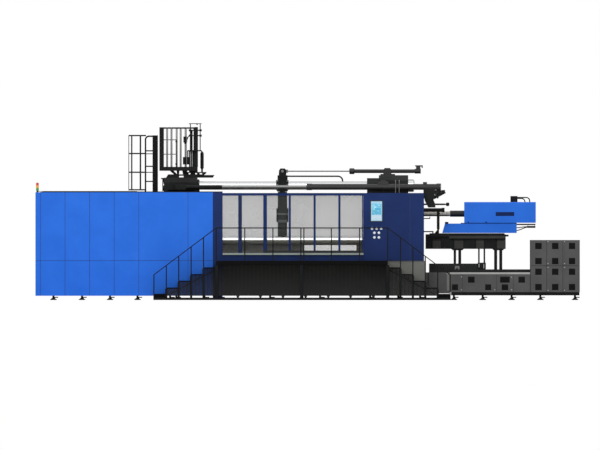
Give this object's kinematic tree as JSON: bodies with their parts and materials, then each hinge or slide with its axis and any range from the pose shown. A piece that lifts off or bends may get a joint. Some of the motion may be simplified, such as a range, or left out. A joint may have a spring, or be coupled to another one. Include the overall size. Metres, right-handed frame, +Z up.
{
  "type": "two-component injection molding machine",
  "caption": "Long horizontal press with a turning centre platen between two mould spaces, guarded by sliding gates, with walkways, stairs, a roof ladder and two injection units.",
  "frame": {"origin": "centre of the machine's footprint on the floor", "axes": "+X along the machine towards the switch cabinet, -Y the operator's side, +Z up"},
  "size_m": [17.42, 5.32, 5.655],
  "materials": {
    "blue_enamel": "semi-gloss",
    "navy_enamel": "semi-gloss",
    "black_enamel": "satin",
    "machine_black": "satin",
    "grey_enamel": "satin",
    "ground_steel": "ground and plated",
    "window_sheet": "clear polycarbonate",
    "screen": "gloss",
    "button_plastic": "gloss",
    "lamp_plastic": "gloss",
    "track_steel": "zinc plated"
  },
  "bodies": {
    "root": {"clamp_housing": "blue_enamel", "guard_walls": "blue_enamel", "levelling_feet": "machine_black", "roof_trim": "navy_enamel", "bed_girders": "machine_black", "bed_crossmembers": "machine_black", "bed_slideways": "machine_black", "riser_pipes": "track_steel", "walkway_frames": "black_enamel", "beam_base": "machine_black", "bed_end_frame": "grey_enamel", "stationary_platen": "machine_black", "tie_bars": "ground_steel", "traverse_cylinders": "machine_black", "centre_cylinder": "machine_black", "gate_frames": "navy_enamel", "fixed_windows": "window_sheet", "gate_tracks": "track_steel", "side_panels": "navy_enamel", "control_screen": "screen", "push_buttons": "button_plastic", "walkways": "black_enamel", "stair_skirts": "black_enamel", "steps": "black_enamel", "handrails": "black_enamel", "signal_lamp": "lamp_plastic", "roof_ladder": "black_enamel", "ladder_cage": "black_enamel", "base_cabinet": "grey_enamel", "cabinet_plinth": "black_enamel", "switch_cabinet": "grey_enamel", "slide_beam": "machine_black", "beam_columns": "machine_black", "valve_manifold": "machine_black", "nozzle_guides": "machine_black"},
    "clamp_carriage": {"moving_platen": "machine_black", "clamp_ram": "ground_steel", "platen_sleeves": "machine_black", "traverse_rods": "ground_steel", "unit_base": "machine_black", "service_platform": "black_enamel", "platform_guard": "black_enamel", "upright_unit": "machine_black", "unit_drives": "machine_black"},
    "centre_carriage": {"crosshead": "machine_black", "centre_rod": "ground_steel", "supply_pipes": "machine_black", "centre_saddle": "machine_black"},
    "turning_table": {"turning_platen": "machine_black"},
    "injection_carriage": {"injection_barrel": "ground_steel", "injection_housing": "blue_enamel", "carriage_cover": "blue_enamel", "carriage_deck": "machine_black", "valve_block": "machine_black"},
    "front_door": {"front_gate": "navy_enamel", "front_gate_panes": "window_sheet"},
    "back_door": {"back_gate": "navy_enamel", "back_gate_panes": "window_sheet"}
  },
  "joints": [
    {"name": "moving_platen_slide", "type": "slide", "parent": "root", "child": "clamp_carriage", "axis": [1, 0, 0], "range_m": [0, 1]},
    {"name": "centre_platen_slide", "type": "slide", "parent": "root", "child": "centre_carriage", "axis": [1, 0, 0], "range_m": [-0.5, 0.7]},
    {"name": "centre_platen_turn", "type": "hinge", "parent": "centre_carriage", "child": "turning_table", "pos_m": [-0.806, 0, 2.728], "axis": [0, 0, 1], "range_deg": [0, 180]},
    {"name": "injection_unit_slide", "type": "slide", "parent": "root", "child": "injection_carriage", "axis": [1, 0, 0], "range_m": [0, 0.5]},
    {"name": "front_gate_slide", "type": "slide", "parent": "root", "child": "front_door", "axis": [1, 0, 0], "range_m": [-1.3, 0]},
    {"name": "back_gate_slide", "type": "slide", "parent": "root", "child": "back_door", "axis": [1, 0, 0], "range_m": [-1.3, 0]}
  ]
}
